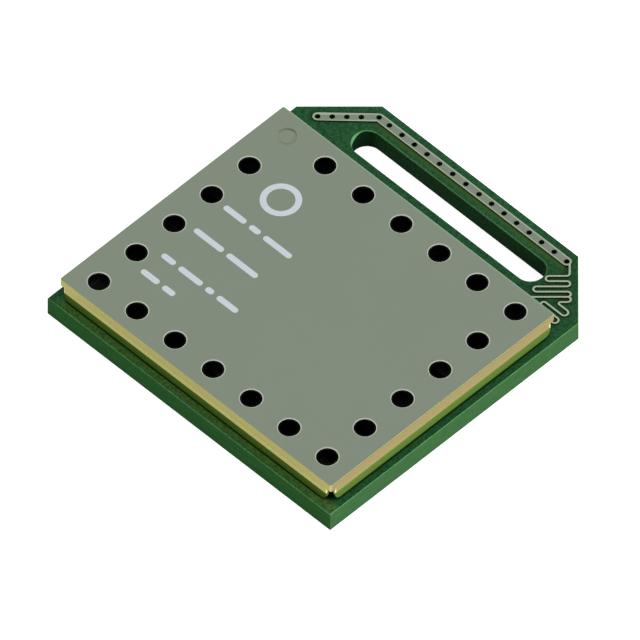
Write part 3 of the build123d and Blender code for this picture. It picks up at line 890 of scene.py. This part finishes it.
def make_hole_plates(name, outer, inner, rise, finish):
    """One thin plate round each hole in the lid, between two circles given by radius and shift."""
    inputs = {
        "Outer Radius": "Float", "Outer Place": "Vector", "Inner Radius": "Float", "Inner Place": "Vector",
        "Height": "Float", "Middle": "Vector",
        "Span X": "Float", "Span Y": "Float", "Along": "Int", "Across": "Int",
    }
    tree, start, end = new_tree(name, inputs)
    circles = [(start[side + " Radius"], start[side + " Place"]) for side in ("Outer", "Inner")]
    plate = make_plate_between(tree, circles, start["Height"])
    pair = {"Points": rim_points(tree, start), "Instance": plate}
    plates = add_node(tree, "GeometryNodeInstanceOnPoints", pair)
    close_tree(tree, end, plates.outputs[0], finish)
    values = {
        "Outer Radius": outer[0],
        "Outer Place": Vector((*outer[1], 0)),
        "Inner Radius": inner[0],
        "Inner Place": Vector((*inner[1], 0)),
        "Height": rise + rim_sink,
        "Middle": Vector((can_middle.x, can_middle.y, can_high.z - rim_sink)),
        "Span X": can_high.x - can_low.x - 2 * hole_side_margin,
        "Span Y": can_high.y - can_low.y - 2 * hole_end_margin,
        "Along": holes_along,
        "Across": holes_across,
    }
    grow(name, tree, values)


def make_hole_rims():
    """The holes' rolled edges: a pale rim that is a painted highlight, and inside it a dark ring of painted
    shade.
    """
    lip = (shade_ring_radius, shade_ring_shift)
    make_hole_plates("lid_hole_rims", (rim_radius, rim_shift), lip, rim_rise, rim_highlight_finish)
    opening = (shade_ring_radius - shade_ring_width, shade_ring_shift)
    make_hole_plates("lid_hole_shade_rings", lip, opening, shade_ring_rise, hole_shade_finish)


def make_dash(tree, length, width, rise):
    """One printed dash with round ends."""
    outline = add_node(tree, "GeometryNodeCurvePrimitiveQuadrilateral", {"Width": length, "Height": width})
    bend = calculate(tree, "MULTIPLY", width, 0.49)
    inputs = {"Curve": outline.outputs[0], "Count": 8, "Radius": bend}
    rounded = add_node(tree, "GeometryNodeFilletCurve", inputs, mode="POLY").outputs[0]
    return raise_plate(tree, rounded, rise)


def make_lid_marks():
    """Plain printed marks on the lid: one ring above four rows of dashes."""
    tree, start, end = new_tree("lid_marks", {"Radius": "Float", "Width": "Float", "Rise": "Float"})
    ring = make_washer(tree, start["Radius"], start["Width"], start["Rise"])
    shapes = [(ring, mark_ring)]
    for y, lengths in mark_rows:
        left = mark_left
        for length in lengths:
            dash = make_dash(tree, length * mm, start["Width"], start["Rise"])
            shapes.append((dash, (left + length / 2, y)))
            left += length + mark_gap
    placed = []
    for shape, (x, y) in shapes:
        move = {"Geometry": shape, "Translation": (x * mm, y * mm, can_high.z)}
        placed.append(add_node(tree, "GeometryNodeTransform", move).outputs[0])
    close_tree(tree, end, join(tree, placed), ink_finish)
    values = {"Radius": mark_ring_radius * mm, "Width": mark_width * mm, "Rise": mark_rise * mm}
    grow("lid_marks", tree, values)


def make_via_barrels():
    """The plated barrel in each via hole of the antenna strip."""
    tree, start, end = new_tree("via_barrels", {"Radius": "Float", "Height": "Float"})
    level = (cad_box[0].z + strip_high.z) / 2
    points = []
    for x, y in via_places():
        point = add_node(tree, "GeometryNodePoints", {"Count": 1, "Position": (x, y, level)})
        points.append(point.outputs[0])
    sizes = {"Radius": start["Radius"], "Depth": start["Height"], "Vertices": 24}
    barrel = add_node(tree, "GeometryNodeMeshCylinder", sizes, fill_type="NONE").outputs["Mesh"]
    inward = add_node(tree, "GeometryNodeFlipFaces", {"Mesh": barrel}).outputs[0]
    pair = {"Points": join(tree, points), "Instance": inward}
    barrels = add_node(tree, "GeometryNodeInstanceOnPoints", pair).outputs[0]
    close_tree(tree, end, barrels, barrel_finish)
    height = strip_high.z - cad_box[0].z - barrel_gap
    values = {"Radius": via_radius * barrel_share, "Height": height}
    grow("via_barrels", tree, values)


def make_floor():
    """A wide plain floor at the height of the solder pads."""
    bpy.ops.mesh.primitive_plane_add(size=floor_size, location=(0, 0, cad_box[0].z - floor_gap))
    floor = bpy.context.object
    floor.name = "floor"
    floor.data.materials.append(make_floor_finish())


def make_light():
    """An even pale surround, and one large soft light from the right."""
    scene = bpy.context.scene
    scene.world = bpy.data.worlds.new("studio")
    scene.world.use_nodes = True
    surround = scene.world.node_tree.nodes["Background"]
    surround.inputs["Color"].default_value = (1.0, 1.0, 1.0, 1.0)
    tree = scene.world.node_tree
    seen = add_node(tree, "ShaderNodeLightPath").outputs["Is Camera Ray"]
    strength = calculate(tree, "MULTIPLY_ADD", seen, backdrop_gain, surround_strength)
    tree.links.new(strength, surround.inputs["Strength"])
    soft = bpy.data.lights.new("soft_right", "AREA")
    soft.shape = "RECTANGLE"
    soft.size, soft.size_y = lamp_size
    soft.energy = lamp_power
    lamp = bpy.data.objects.new("soft_right", soft)
    lamp.location = lamp_place
    lamp.rotation_mode = "QUATERNION"
    lamp.rotation_quaternion = lamp.location.to_track_quat("Z", "Y")
    scene.collection.objects.link(lamp)


def make_camera():
    """The photograph's own view, without perspective."""
    turn = math.radians(view_azimuth)
    rise = math.radians(view_elevation)
    back = Vector((math.sin(turn) * math.cos(rise), -math.cos(turn) * math.cos(rise), math.sin(rise)))
    right = Vector((math.cos(turn), math.sin(turn), 0))
    up = back.cross(right)
    data = bpy.data.cameras.new("camera")
    data.type = "ORTHO"
    data.ortho_scale = picture_width
    camera = bpy.data.objects.new("camera", data)
    camera.location = right * picture_right + up * picture_up + back * camera_distance
    camera.rotation_mode = "QUATERNION"
    camera.rotation_quaternion = (-back).to_track_quat("-Z", "Y")
    data.clip_start = 0.001
    data.clip_end = 10
    bpy.context.scene.collection.objects.link(camera)
    bpy.context.scene.camera = camera


make_hole_rims()
make_lid_marks()
make_via_barrels()
make_floor()
make_light()
make_camera()
bpy.context.scene.view_settings.view_transform = "Standard"
